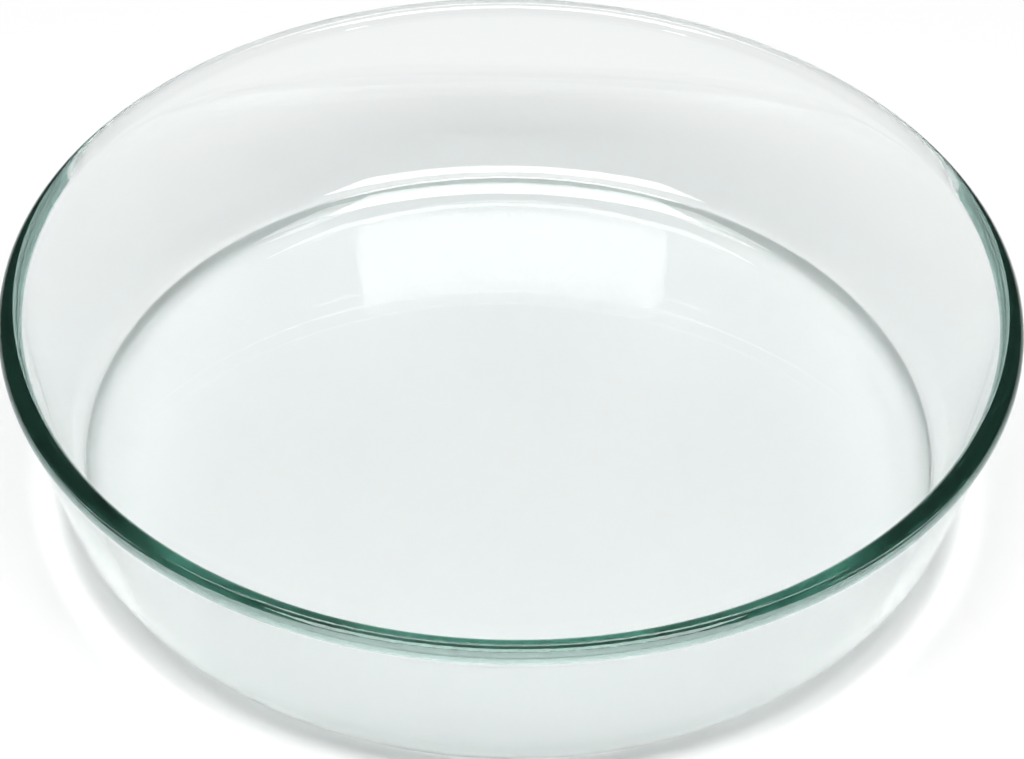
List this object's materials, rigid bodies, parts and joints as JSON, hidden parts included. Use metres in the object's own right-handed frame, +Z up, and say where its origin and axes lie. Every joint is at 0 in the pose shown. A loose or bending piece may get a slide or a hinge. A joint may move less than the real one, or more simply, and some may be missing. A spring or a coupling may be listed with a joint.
{
  "type": "evaporating dish",
  "caption": "Round flat-bottomed evaporating dish of heavy pressed clear glass, with a leaning wall and a round bead along its rim.",
  "frame": {"origin": "on the dish's axis, at the surface that it stands on", "axes": "+Z up along the dish's axis of revolution; X and Y are free, because the dish is round"},
  "size_m": [0.26, 0.26, 0.0585],
  "materials": {
    "glass": "fire-polished clear, faint green edge tint"
  },
  "bodies": {
    "root": {"dish": "glass"}
  },
  "joints": []
}
